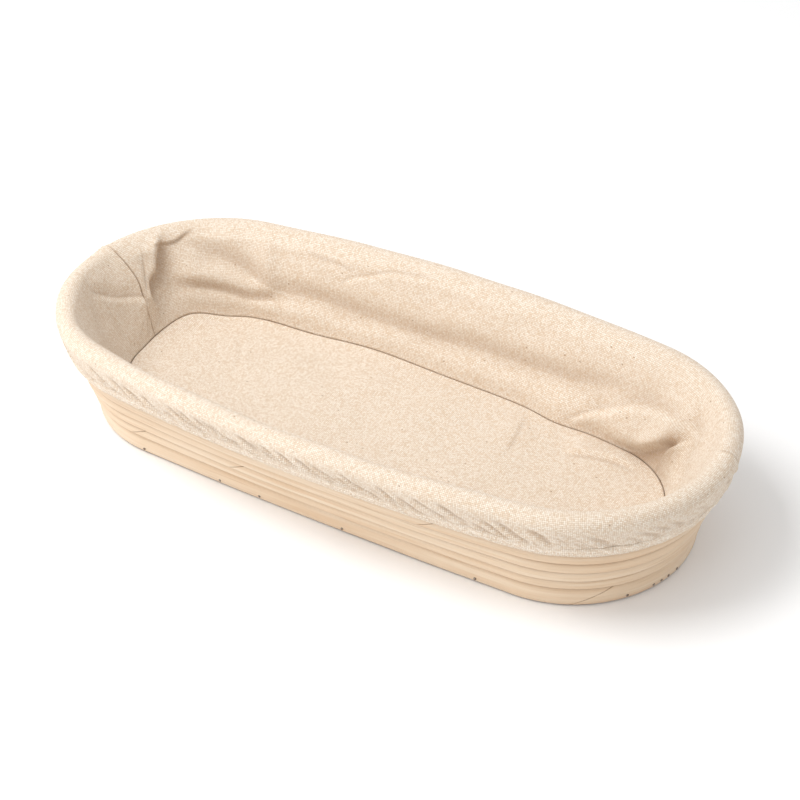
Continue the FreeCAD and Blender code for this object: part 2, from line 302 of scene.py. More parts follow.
def newGroup(name, *numbers):
    # a pattern group takes a vector and some numbers, and gives a colour, a height and a roughness
    group = bpy.data.node_groups.new(name, "ShaderNodeTree")
    group.interface.new_socket("Vector", in_out="INPUT", socket_type="NodeSocketVector")
    for label in numbers:
        group.interface.new_socket(label, in_out="INPUT", socket_type="NodeSocketFloat")
    for label, kind in (("Color", "Color"), ("Height", "Float"), ("Roughness", "Float")):
        group.interface.new_socket(label, in_out="OUTPUT", socket_type="NodeSocket" + kind)
    return group, group.nodes.new("NodeGroupInput").outputs, group.nodes.new("NodeGroupOutput").inputs


linen = {
    "threadPitch": 0.00086,
    "wobble": 0.0009,           # how far threads stray from their line
    "gap": linear(180, 150, 118),
    "pale": linear(250, 240, 226),
    "shade": linear(229, 208, 184),
    "fleck": linear(150, 112, 74),
    # the colour of the painted shade in folds, hollows, furrows and along the seams
    "paintedShade": linear(150, 112, 74),
    "thread": linear(250, 242, 228),
    "threadShade": linear(226, 208, 184),
    "slubShare": 0.66,          # of the tone: uneven threads, broad drift, single crossings
    "broadShare": 0.15,
    "crossingShare": 0.26,
    "fleckCells": (210.0, 330.0, 1.0),
    "relief": (0.8, 0.00022),
    "shader": {"Sheen Weight": 0.15, "Sheen Roughness": 0.6, "Specular IOR Level": 0.12},
}

cane = {
    "pale": linear(234, 215, 191),
    "deep": linear(222, 194, 163),
    "grainDark": linear(196, 160, 120),
    # the colour of the painted shade in the grooves between turns and along the scarf
    "grooveShade": linear(120, 84, 52),
    "steel": linear(170, 160, 150),
    "rust": linear(92, 58, 36),
    "relief": (0.5, 0.00012),
    "shader": {"Specular IOR Level": 0.35, "Coat Weight": 0.08, "Coat Roughness": 0.35},
}


def weaveGroup():
    # Warp and weft: two sets of parallel threads along U and V in metres. Each thread's height is
    # a half sine across it, and the checkerboard of over and under comes from the sign of the
    # product of the two sines. Slow noise stretched along each set makes the slubs, every crossing
    # has a tone of its own, and rare dark specks are the flecks of husk.
    group, given, wanted = newGroup("linenWeave", "Mark", "Pitch")
    link = group.links.new
    vector = given["Vector"]
    wobble = vectorNode(group, "SUBTRACT", noiseNode(group, vector, 160.0, Detail=2.0)["Color"],
                        (0.5, 0.5, 0.5))
    wobble = vectorNode(group, "MULTIPLY", wobble, (linen["wobble"],) * 3)
    split = addNode(group, "ShaderNodeSeparateXYZ")
    link(vectorNode(group, "ADD", vector, wobble), split.inputs[0])
    lines = [mathNode(group, "DIVIDE", split.outputs[k], given["Pitch"]) for k in (0, 1)]
    sines = [mathNode(group, "SINE", mathNode(group, "MULTIPLY", line, math.pi)) for line in lines]
    across = [mathNode(group, "ABSOLUTE", sine) for sine in sines]
    chooser = mathNode(group, "MULTIPLY_ADD", mathNode(group, "MULTIPLY", *sines), 3.0, 0.5)
    chooser.node.use_clamp = True
    threads = mixNode(group, chooser, *across, kind="FLOAT")
    # slubs: noise drawn out along each thread direction
    slubs = [noiseNode(group, vector, stretch, Detail=2.0)["Fac"]
             for stretch in ((260.0, 1300.0, 1.0), (1300.0, 260.0, 1.0))]
    slub = mixNode(group, chooser, *slubs, kind="FLOAT")
    broad = noiseNode(group, vector, 420.0, Detail=4.0)["Fac"]
    crossing = addNode(group, "ShaderNodeCombineXYZ")
    feed(group, crossing.inputs, [mathNode(group, "FLOOR", line) for line in lines])
    single = addNode(group, "ShaderNodeTexWhiteNoise", noise_dimensions="2D")
    link(crossing.outputs[0], single.inputs["Vector"])
    tone = mathNode(group, "MULTIPLY", slub, linen["slubShare"])
    tone = mathNode(group, "MULTIPLY_ADD", broad, linen["broadShare"], tone)
    tone = mathNode(group, "MULTIPLY_ADD", single.outputs["Value"], linen["crossingShare"], tone)
    ramp = rampNode(group, tone, 0.39, 0.67)
    base = mixNode(group, ramp, linen["shade"], linen["pale"])
    gap = mathNode(group, "POWER", mathNode(group, "SUBTRACT", 1.0, threads), 1.5)
    base = mixNode(group, mathNode(group, "MULTIPLY", gap, 0.9), base, linen["gap"])
    # flecks: in one cell of ten, close to its point
    speck = addNode(group, "ShaderNodeTexVoronoi", feature="F1", Scale=1.0)
    link(vectorNode(group, "MULTIPLY", vector, linen["fleckCells"]), speck.inputs["Vector"])
    chance = addNode(group, "ShaderNodeSeparateColor")
    link(speck.outputs["Color"], chance.inputs[0])
    rare = mathNode(group, "GREATER_THAN", chance.outputs[0], 0.90)
    near = mathNode(group, "LESS_THAN", speck.outputs["Distance"], 0.13)
    fleck = mathNode(group, "MULTIPLY", mathNode(group, "MULTIPLY", rare, near), 0.6)
    base = mixNode(group, fleck, base, linen["fleck"])
    # painted shade: the mark darkens the cloth towards a darker brown in folds, hollows, furrows and along
    # the seams
    link(mixNode(group, mathNode(group, "MULTIPLY", given["Mark"], 0.8), base, linen["paintedShade"]),
         wanted["Color"])
    link(mathNode(group, "MULTIPLY_ADD", slub, 0.6, threads), wanted["Height"])
    link(mathNode(group, "MULTIPLY_ADD", ramp, -0.08, 0.96), wanted["Roughness"])
    return group


def grainGroup():
    # Cane skin: U runs along the cane and V across it. Fine fibres are noise drawn out along U,
    # broad tone is slow noise along U, and sparse streaks are a higher threshold of a second
    # drawn-out noise.
    group, given, wanted = newGroup("caneGrain", "Mark")
    link = group.links.new
    fibre, broad, streak = [
        noiseNode(group, given["Vector"], scale, Detail=detail, Roughness=0.6)["Fac"]
        for scale, detail in (((35.0, 2600.0, 1.0), 3.0), ((9.0, 160.0, 1.0), 2.0),
                              ((22.0, 1100.0, 1.0), 2.0))]
    fine = rampNode(group, fibre, 0.3, 0.7)
    base = mixNode(group, rampNode(group, broad, 0.35, 0.68), cane["pale"], cane["deep"])
    base = mixNode(group, mathNode(group, "MULTIPLY", fine, 0.28), base, cane["grainDark"])
    base = mixNode(group, rampNode(group, streak, 0.60, 0.74, 0.55), base, cane["grainDark"])
    # painted shade: the mark darkens the grooves towards a dark brown
    link(mixNode(group, mathNode(group, "MULTIPLY", given["Mark"], 0.75), base, cane["grooveShade"]),
         wanted["Color"])
    link(mathNode(group, "MULTIPLY_ADD", streak, 0.6, fibre), wanted["Height"])
    link(mathNode(group, "MULTIPLY_ADD", fine, 0.16, 0.42), wanted["Roughness"])
    return group


def patternMaterial(name, pattern, mark, look, wound=True):
    # a pattern over the piece's own UV map, or along X on a straight piece; mark is the mesh
    # attribute that paints shade on it
    material, tree, shader = newMaterial(name)
    if wound:
        place = addNode(tree, "ShaderNodeUVMap", uv_map="UVMap").outputs[0]
    else:
        place = addNode(tree, "ShaderNodeTexCoord").outputs["Object"]
    group = addNode(tree, "ShaderNodeGroup", node_tree=pattern)
    marked = addNode(tree, "ShaderNodeAttribute", attribute_name=mark)
    feed(tree, group.inputs, (place, marked.outputs["Fac"]))
    if "threadPitch" in look:
        group.inputs["Pitch"].default_value = look["threadPitch"]
    tree.links.new(group.outputs["Color"], shader.inputs["Base Color"])
    tree.links.new(group.outputs["Roughness"], shader.inputs["Roughness"])
    addBump(tree, shader, group.outputs["Height"], *look["relief"])
    for label, value in look["shader"].items():
        shader.inputs[label].default_value = value
    return material


def threadMaterial(name):
    # sewing thread: pale cotton whose tone drifts from stitch to stitch
    material, tree, shader = newMaterial(name)
    place = addNode(tree, "ShaderNodeTexCoord").outputs["Object"]
    drift = noiseNode(tree, place, 900.0, Detail=2.0)["Fac"]
    tree.links.new(mixNode(tree, drift, linen["thread"], linen["threadShade"]),
                   shader.inputs["Base Color"])
    addBump(tree, shader, drift, 0.5, 0.00006)
    shader.inputs["Roughness"].default_value = 0.8
    shader.inputs["Specular IOR Level"].default_value = 0.2
    return material


def pinMaterial(name):
    # bright wire pins, dulled brown in patches where the oven has darkened them
    material, tree, shader = newMaterial(name)
    place = addNode(tree, "ShaderNodeTexCoord").outputs["Object"]
    patch = rampNode(tree, noiseNode(tree, place, 1400.0, Detail=4.0)["Fac"], 0.38, 0.58)
    tree.links.new(mixNode(tree, patch, cane["rust"], cane["steel"]), shader.inputs["Base Color"])
    tree.links.new(mathNode(tree, "MULTIPLY", patch, 0.7), shader.inputs["Metallic"])
    tree.links.new(mathNode(tree, "MULTIPLY_ADD", patch, -0.35, 0.75), shader.inputs["Roughness"])
    return material


grain = grainGroup()
caneSkin = patternMaterial("caneSkin", grain, "groove", cane)
caneStraight = patternMaterial("caneStraight", grain, "groove", cane, wound=False)
linenCloth = patternMaterial("linenCloth", weaveGroup(), "paintedShade", linen)
threadCotton = threadMaterial("threadCotton")
pinSteel = pinMaterial("pinSteel")
print("materials made")


# cane
turn = {
    "wallWidth": 0.0070,
    "rimWidth": 0.0074,
    "basePitch": 0.0079,
    "squareness": 2.9,      # power of the rounded section: 2 is an ellipse, more is squarer
    "rimSquareness": 2.3,
    "baseSquareness": 3.4,
    "around": 620,
    "baseAround": 420,
    "across": 32,
    "wander": 0.00022,      # how far a turn strays in and out
    "lift": 0.00012,
    "scarfSlope": 2.2,      # run of the scarf for each millimetre of height
    "scarfDepth": 0.0005,
    "scarfWidth": 0.00030,
}


def unevenSteps(count, where, width, share=0.3):
    # fractions of the way round, closer together near one place
    s = np.linspace(0, 1, 4001)
    gap = np.abs((s - where + 0.5) % 1 - 0.5)
    density = (1 - share) + share * bell(gap, width) / (width * math.sqrt(math.pi))
    total = np.r_[0, np.cumsum((density[1:] + density[:-1]) / 2)]
    return np.interp(np.linspace(0, total[-1], count, endpoint=False), total, s)


def caneTurn(name, node, oval, bottom, top, width, seed, scarfAt, squareness=None, around=None):
    # A rounded section, |x|^p + |z|^p = 1, carried round the oval; p = squareness. Near the scarf
    # the columns slant with it.
    p = squareness or turn["squareness"]
    phi = np.linspace(0, 2 * np.pi, turn["across"], endpoint=False)
    shapeX = np.sign(np.cos(phi)) * np.abs(np.cos(phi)) ** (2 / p)
    shapeZ = np.sign(np.sin(phi)) * np.abs(np.sin(phi)) ** (2 / p)
    height = top - bottom
    length = perimeter(oval)
    steps = unevenSteps(around or turn["around"], scarfAt, 0.008)
    gap = ((steps - scarfAt + 0.5) % 1 - 0.5) * length
    slantStep = shapeZ[:, None] * height / 2 * turn["scarfSlope"] * bell(gap, 0.03)[None]
    s = steps[None] + slantStep / length
    theta = normalAngles(oval, s)
    x0, y0 = ovalPoints(grownOval(oval, -width / 2), theta)
    stray = waves(s, seed, (2, 3, 5, 8, 13), turn["wander"])
    lift = waves(s, seed + 50, (3, 4, 7, 11), turn["lift"])
    swell = 1 + waves(s, seed + 90, (5, 9, 14), 0.012)
    out = shapeX[:, None] * width / 2 * swell + stray
    up = shapeZ[:, None] * height / 2 + np.where(np.abs(shapeZ) < 0.9, 1.0, 0.4)[:, None] * lift
    # scarf: a narrow slanting groove across the outer face
    cutLine = bell(gap, turn["scarfWidth"])[None] * smoothStep(shapeX, 0.0, 0.4)[:, None]
    out = out - turn["scarfDepth"] * cutLine
    points = np.stack([x0 + np.cos(theta) * out, y0 + np.sin(theta) * out, (bottom + top) / 2 + up], -1)
    # painted shade: the joints where one turn meets the next and the scarf's cut are darkened
    joint = smoothStep(np.abs(shapeZ), 0.80, 1.0)[:, None] * np.ones_like(out)
    groove = np.maximum(joint, cutLine)
    u = np.r_[steps, steps[0] + 1] * length + seed * 0.37
    around2 = np.r_[0, np.cumsum(np.hypot(np.diff(np.r_[shapeX, shapeX[0]]) * width / 2,
                                          np.diff(np.r_[shapeZ, shapeZ[0]]) * height / 2))]
    uv = np.stack(np.meshgrid(u, around2 + seed * 0.11), -1)
    mesh = gridMesh(name, points, uv, True, True, {"groove": groove})
    return placePiece(name, mesh, caneSkin, "basket", (node,))


wallScarfs = [0.93, 0.62, 0.70, 0.21, 0.83, 0.34, 0.55, 0.08]
for i in range(8):
    node = "foot_turn" if i == 0 else "wall_turn_%d" % i
    low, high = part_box(node)
    oval = mixOval(footOval, topOval, i / 7)
    caneTurn("footCane" if i == 0 else "wallCane%d" % i, node, oval, low[2], high[2],
             turn["wallWidth"], i, wallScarfs[i])
low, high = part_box("rim_turn")
caneTurn("rimCane", "rim_turn", rimOval, low[2], high[2], turn["rimWidth"], 9, 0.4,
         turn["rimSquareness"])
for i in range(1, 8):
    low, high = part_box("base_turn_%d" % i)
    oval = grownOval(footOval, -turn["wallWidth"] - turn["basePitch"] * (i - 1))
    caneTurn("baseCane%d" % i, "base_turn_%d" % i, oval, low[2], high[2], turn["basePitch"],
             20 + i, (0.7 + 0.13 * i) % 1, turn["baseSquareness"], turn["baseAround"])
# the pins and the straight strip stay as they are and take a material each
for node, material in (("base_pins", pinSteel), ("wall_pins", pinSteel),
                       ("centre_strip", caneStraight)):
    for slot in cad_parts[node].material_slots:
        slot.material = material
print("cane made")

# liner
# The bag is one wall that rises from the floor seam, rolls over the rim and hangs as a skirt, sewn
# in two halves at the ends. A point of it is (u, v): u round the rim, v up the cloth from the floor.
bag = {
    "lean": 0.4986,             # how far the wall moves out for each unit of height
    "rollRadius": 0.0058,
    "seamInset": 0.0340,        # floor seam, inside the roll's outer edge
    "thickness": 0.0009,
    "columns": 330,             # of each quarter
    "wallRows": 88,
    "rollRows": 28,
    "skirtRows": 20,
    "rightSeam": 0.011,         # side seams, as fractions of the way round
    "leftSeam": 0.488,
    "backMeeting": 0.262,       # where two quarters of one half meet
    "frontMeeting": 0.765,
    "sway": 0.0006,             # slow unevenness of the wall
    "seamEdge": (0.0012, 0.0008, 0.010),    # stand-off beside the floor seam
    "sideEdge": (0.0009, 0.0006, 0.007),    # and beside the side seams
    "seamLine": 0.0006,         # width of the line of painted shade along a seam
    "hollow": (200, 0.0026, 0.42),          # rounds of averaging, depth, darkness of the painted shade in hollows
    # the same for the painted shade in the skirt's furrows
    "furrow": (14, 0.00045, 0.50),
}

# Folds of the wall: each runs through places (fraction round, height in mm). The cloth swells on
# each side of it: above is the left of the way it runs and below the right, and each says how far
# the cloth swells, how sharply and how far that carries, in mm. Shade is a thin line of painted
# shade along it; over a hollow a fold paints shade on one side too: (how much, how far in mm).
folds = [
    # the long fold of the far wall
    {"line": [(0.090, 43), (0.115, 44), (0.139, 42), (0.160, 38), (0.183, 36), (0.213, 35.5),
              (0.254, 33.5), (0.298, 33.5), (0.330, 36), (0.360, 36), (0.375, 39), (0.388, 43),
              (0.404, 47), (0.423, 51), (0.438, 58), (0.444, 62)],
     "above": (5.0, 8.0, 70), "below": (3.8, 10.0, 90), "shade": 0.35, "darkAbove": (0.34, 6)},
    # hollow under the fold at the left
    {"line": [(0.358, 33), (0.369, 31), (0.384, 29.5), (0.403, 31), (0.421, 33), (0.439, 35), (0.460, 38)],
     "above": (6.5, 5.0, 18), "below": (1.8, 5.0, 14), "shade": 0.5, "darkAbove": (0.45, 5)},
    # pleats that drop from the rim beside the left seam
    {"line": [(0.447, 64), (0.455, 59), (0.460, 52), (0.464, 46), (0.473, 42), (0.475, 36), (0.468, 30)],
     "above": (6.5, 2.6, 20), "below": (0.3, 8.0, 9), "shade": 0.5, "darkBelow": (0.55, 9)},
    {"line": [(0.428, 64), (0.437, 60.5), (0.445, 58), (0.456, 58.5), (0.464, 60)],
     "above": (2.6, 1.2, 9), "below": (0.4, 3.0, 6), "shade": 0.5},
    # crease left of the seam
    {"line": [(0.484, 37), (0.489, 39), (0.505, 44), (0.517, 50), (0.530, 59)],
     "above": (2.6, 6.0, 18), "below": (2.2, 3.0, 20), "shade": 0.4},
    # soft creases under the far rim
    {"line": [(0.258, 61), (0.276, 60.5), (0.292, 59), (0.305, 55), (0.318, 51), (0.326, 44)],
     "above": (0.3, 5.0, 8), "below": (1.5, 2.4, 22), "shade": 0.25},
    {"line": [(0.314, 53), (0.326, 56), (0.340, 57), (0.352, 59)],
     "above": (0.8, 1.6, 6), "below": (0.5, 3.0, 8), "shade": 0.25},
    # pillow at the right end: its upper edge, and the pocket it folds over
    {"line": [(0.050, 50), (0.062, 49), (0.077, 46), (0.100, 43.5), (0.121, 40), (0.132, 35), (0.149, 27),
              (0.160, 20), (0.168, 14)],
     "above": (1.6, 9.0, 20), "below": (4.6, 3.0, 26), "shade": 0.25},
    {"line": [(0.136, 12), (0.122, 16), (0.101, 20), (0.085, 26), (0.067, 34), (0.054, 41)],
     "above": (0.0, 6.0, 8), "below": (9.0, 3.2, 18), "shade": 0.5, "darkAbove": (0.72, 12)},
    {"line": [(0.082, 13), (0.076, 18), (0.070, 26), (0.066, 35), (0.056, 46)],
     "above": (6.5, 2.2, 16), "below": (0.0, 5.0, 8), "shade": 0.5, "darkBelow": (0.62, 9)},
    # near wall, whose folds answer the far one's
    {"line": [(0.560, 46), (0.590, 41), (0.630, 36), (0.680, 34), (0.730, 37), (0.780, 35), (0.830, 38),
              (0.880, 36), (0.920, 42)],
     "above": (2.2, 8.0, 22), "below": (3.6, 4.0, 26), "shade": 0.3},
    {"line": [(0.905, 63), (0.916, 54), (0.925, 44), (0.940, 34), (0.950, 24)],
     "above": (0.4, 6.0, 8), "below": (4.2, 1.6, 16), "shade": 0.45},
    {"line": [(0.985, 58), (0.975, 48), (0.972, 38), (0.964, 26)],
     "above": (3.2, 1.8, 16), "below": (0.4, 6.0, 9), "shade": 0.45},
    {"line": [(0.655, 60), (0.690, 56), (0.730, 57), (0.765, 61)],
     "above": (0.3, 5.0, 8), "below": (1.5, 2.4, 18), "shade": 0.25},
]

# where the floor seam rides up the wall, and where it is drawn in: (fraction round, mm, spread)
seamRises = [(0.443, 4.5, 0.030), (0.372, 3.0, 0.030), (0.300, 2.4, 0.040), (0.62, 2.5, 0.05),
             (0.88, 2.0, 0.04)]
seamDraws = [(0.166, 2.6, 0.016), (0.51, 1.5, 0.02), (0.70, 1.6, 0.03)]

rollRadius = bag["rollRadius"]
rollHeight = linerTop - rollRadius
rimLength = perimeter(rollOval)
seamOval = grownOval(rollOval, -bag["seamInset"])
slant = math.sqrt(bag["lean"] ** 2 + 1)
touchIn = -rollRadius - rollRadius / slant
touchUp = rollHeight + rollRadius * bag["lean"] / slant
wallLength = (touchUp - floorTop) * slant
wallTurn = math.pi - math.atan(bag["lean"])
rollEnd = -0.30
rollLength = rollRadius * (wallTurn - rollEnd)

# hem casing: a flat tube whose middle line is hemOval, leaning as the wall does
hem = {
    "lean": 0.39,
    "depth": 0.0026,            # of the casing in the frame
    "halfHeight": 0.0036,
    "halfThick": 0.00095,
    "squareness": 2.6,
    "sag": 0.00035,             # unevenness of its lower edge
    "ripple": 0.00010,
    "furrowShare": 0.55,        # of the skirt's furrows
    "pinchWidth": 0.0005,       # of the groove that a row of stitches draws
    "pinchDepth": 0.00032,
    "columns": 1000,
    "around": 26,
    "stitchRows": (0.0016, -0.0020),  # heights from the casing's middle
    "stitchLength": 0.0021,
    "stitchPitch": 0.0030,
    "threadRadius": 0.00019,
}
hemMiddle = (hemLow[2] + hemHigh[2]) / 2
hemTopStep = (hemHigh[2] - hemMiddle) * hem["lean"] + hem["depth"] / 2
hemOval = (hemHigh[0] - hemTopStep, -hemLow[1] - hemTopStep, -hemLow[1] - hemTopStep - 0.0062)
skirtEnd = 0.0014               # above the casing's middle, where the skirt goes into it
skirtStart = grownOval(rollOval, rollRadius * (math.cos(rollEnd) - 1))
skirtFoot = grownOval(hemOval, skirtEnd * hem["lean"] + 0.0004)
skirtTop = rollHeight + rollRadius * math.sin(rollEnd)
skirtBottom = hemMiddle + skirtEnd
skirtLength = math.hypot(skirtTop - skirtBottom, skirtStart[1] - skirtFoot[1])
print("cloth up the wall, over the roll and down the skirt: %.1f, %.1f, %.1f mm"
      % (wallLength * 1e3, rollLength * 1e3, skirtLength * 1e3))


def smoothLine(points, count):
    # Catmull-Rom: between two points the line is a cubic whose ends lean as their neighbours do
    p = np.array(points, float)
    p = np.r_[[2 * p[0] - p[1]], p, [2 * p[-1] - p[-2]]]
    t = np.linspace(0, len(points) - 1, count)
    i = np.minimum(t.astype(int), len(points) - 2)
    f = (t - i)[:, None]
    a, b, c, d = p[i], p[i + 1], p[i + 2], p[i + 3]
    return (b + f * (c - a) / 2 + f ** 2 * (a - 2.5 * b + 2 * c - d / 2)
            + f ** 3 * (1.5 * (b - c) + (d - a) / 2))


def nearestOnLine(u, v, line):
    # distance to a line of short runs, which side of it, and how far along it (0 to 1)
    best = np.full(u.shape, 1.0)
    side = np.zeros(u.shape)
    along = np.zeros(u.shape)
    for k, ((ax, ay), (bx, by)) in enumerate(zip(line[:-1], line[1:])):
        dx, dy = bx - ax, by - ay
        t = np.clip(((u - ax) * dx + (v - ay) * dy) / (dx * dx + dy * dy), 0, 1)
        distance = np.hypot(u - ax - t * dx, v - ay - t * dy)
        closer = distance < best
        best = np.where(closer, distance, best)
        side = np.where(closer, np.sign(dx * (v - ay) - dy * (u - ax)), side)
        along = np.where(closer, (k + t) / (len(line) - 1), along)
    return best, side, along


def standOff(d, swell, sharp, reach):
    # beside a fold or a sewn edge the cloth stands off by A (1 - exp(-(d/sharp)^2)) exp(-d/reach),
    # where d is the distance from it and A the swell
    return swell * (1 - np.exp(-(d / sharp) ** 2)) * np.exp(-d / reach)


def foldHeight(u, v):
    # the folds' stand-off on both sides and their painted shade, and both ends of a fold fade out
    height = np.zeros(u.shape)
    shade = np.zeros(u.shape)
    for fold in folds:
        places = [(s * rimLength, (z * 1e-3 - floorTop) * slant) for s, z in fold["line"]]
        line = smoothLine(places, 6 * len(places))
        low, high = line.min(0) - 0.045, line.max(0) + 0.045
        for whole in (0, rimLength):
            near = (u > low[0] + whole) & (u < high[0] + whole) & (v > low[1]) & (v < high[1])
            if not near.any():
                continue
            d, side, along = nearestOnLine(u[near] - whole, v[near], line)
            fade = smoothStep(along, 0, 0.22) * smoothStep(1 - along, 0, 0.22)
            # painted shade: a thin dark line along the fold, and a broader one on a hollow side
            dark = fold["shade"] * bell(d, 0.0011)
            for key, here in (("Above", side > 0), ("Below", side <= 0)):
                swell, sharp, reach = np.array(fold[key.lower()]) * 1e-3
                height[near] += fade * here * standOff(d, swell, sharp, reach)
                amount, carry = fold.get("dark" + key, (0, 1))
                dark = np.maximum(dark, amount * bell(d, carry * 1e-3) * here)
            shade[near] = np.maximum(shade[near], fade * dark)
    return height, shade


gather = {
    "spacing": 0.0080,          # between one gather and the next round the skirt
    "slope": 0.70,              # how fast a gather runs down as it goes round
    "halfLength": 0.0075,
    "halfWidth": 0.0013,
    "depth": 0.0026,
    "room": 0.0014,             # between the skirt and the cane
    "least": 0.34,              # how deep they are away from the front, as a share
    "front": 0.73,              # where they are deepest, as a fraction of the way round
    "spread": 0.14,
    "seed": 12,
}


def gatherHeight(u, v):
    # Short slanting furrows drawn by the elastic: across one the cloth follows -cos under a bell,
    # and along it another bell. v is from the top of the skirt, and the front has the most.
    random = np.random.default_rng(gather["seed"])
    height = np.zeros(u.shape)
    count = int(rimLength / gather["spacing"])
    for k in range(count * 2):
        centre = (k / 2 + random.uniform(-0.5, 0.5)) * gather["spacing"]
        s = centre / rimLength
        strong = gather["least"] + (1 - gather["least"]) * bell(s - gather["front"], gather["spread"])
        down = random.uniform(0.15, 1.0) * skirtLength
        length = gather["halfLength"] * random.uniform(0.6, 1.4)
        width = gather["halfWidth"] * random.uniform(0.7, 1.5)
        slope = gather["slope"] * random.uniform(0.75, 1.25)
        depth = gather["depth"] * random.uniform(0.35, 1.0) * strong
        for whole in (-rimLength, 0, rimLength):
            du = u - centre - whole
            near = np.abs(du) < 3 * length
            if not near.any():
                continue
            size = math.hypot(1, slope)
            dv = v[near] - down
            along = (du[near] + slope * dv) / size
            across = (dv - slope * du[near]) / size
            furrow = np.cos(1.3 * across / width) * bell(across, 1.9 * width)
            height[near] -= depth * furrow * bell(along, length)
    return height


def swayHeight(u, v, seed, count, longest, amplitude):
    # slow unevenness: whole waves round the bag, each with its own slant and phase
    random = np.random.default_rng(seed)
    total = np.zeros(u.shape)
    for k in range(count):
        turns = random.integers(3, longest)
        slantWave = random.normal() * turns * 1.5
        phase = random.random()
        wave = np.sin(2 * np.pi * ((turns * u + slantWave * v) / rimLength + phase))
        total += random.normal() * wave / math.sqrt(count)
    return amplitude * total


def bellSum(s, bells):
    total = np.zeros(np.shape(s))
    for place, amount, spread in bells:
        gap = np.abs((s - place + 0.5) % 1 - 0.5)
        total = total + amount * 1e-3 * bell(gap, spread)
    return total


def seamShade(s):
    # painted shade along the sewing, darker in some stretches than in others
    return np.clip(0.45 + waves(s, 91, (4, 7, 11, 19, 31), 0.22), 0.1, 0.85)


def hollowShade(swell, rounds, depth, dark):
    # A hollow is painted darker, as painted shade. It is how far the cloth lies below the mean of its
    # surroundings, had by averaging every point with its neighbours again and again; one of the
    # given depth is fully dark.
    mean = swell
    for again in range(rounds):
        wide = np.pad(mean, 1, mode="edge")
        mean = (wide[:-2, 1:-1] + wide[2:, 1:-1] + wide[1:-1, :-2] + wide[1:-1, 2:]) / 4
    return dark * np.clip((mean - swell) / depth, 0, 1)


def linerStations():
    # base profile: v up the cloth, outward step from the roll oval, height, and which rows belong
    # to the skirt; rows crowd towards the floor seam
    t = np.linspace(0, 1, bag["wallRows"]) ** 1.3
    wallV = t * wallLength
    angle = np.linspace(wallTurn, rollEnd, bag["rollRows"])[1:]
    rollV = wallLength + rollRadius * (wallTurn - angle)
    down = np.linspace(0, 1, bag["skirtRows"])[1:]
    skirtV = wallLength + rollLength + down * skirtLength
    return wallV, angle, rollV, down, skirtV


def bagShape(theta, start):
    # the smooth bag, row by row from the floor seam: its points, each row's way out as (outward,
    # up), and v up the cloth, which begins at start
    wallV, angle, rollV, down, skirtV = linerStations()
    points = np.zeros((len(wallV) + len(rollV) + len(skirtV), len(theta), 3))
    normal = np.zeros((len(points), 1, 2))
    v = np.zeros(points.shape[:2])
    wall = slice(len(wallV))
    v[wall] = start[None] + (wallLength - start)[None] * (wallV / wallLength)[:, None]
    share = v[wall] / wallLength
    x0, y0 = ovalPoints(seamOval, theta)
    x1, y1 = ovalPoints(grownOval(rollOval, touchIn), theta)
    points[wall, :, 0] = x0 + (x1 - x0) * share
    points[wall, :, 1] = y0 + (y1 - y0) * share
    points[wall, :, 2] = floorTop + (touchUp - floorTop) * share
    normal[wall, 0] = (-1 / slant, bag["lean"] / slant)
    # roll
    first = len(wallV)
    for k, a in enumerate(angle):
        x, y = ovalPoints(grownOval(rollOval, rollRadius * (math.cos(a) - 1)), theta)
        points[first + k, :, 0], points[first + k, :, 1] = x, y
        points[first + k, :, 2] = rollHeight + rollRadius * math.sin(a)
        normal[first + k, 0] = (math.cos(a), math.sin(a))
        v[first + k] = rollV[k]
    # skirt: from the roll's outer side to the casing, swelling a little on the way
    first += len(angle)
    rimPlace = ovalPoints(rollOval, theta)
    leanIn = (skirtStart[1] - skirtFoot[1]) / skirtLength
    for k, t in enumerate(down):
        x, y = slideToOval(mixOval(skirtStart, skirtFoot, t ** 1.25), *rimPlace, theta)
        points[first + k, :, 0], points[first + k, :, 1] = x, y
        points[first + k, :, 2] = skirtTop + (skirtBottom - skirtTop) * t
        normal[first + k, 0] = (math.cos(leanIn), -math.sin(leanIn))
        v[first + k] = skirtV[k]
    return points, normal, v


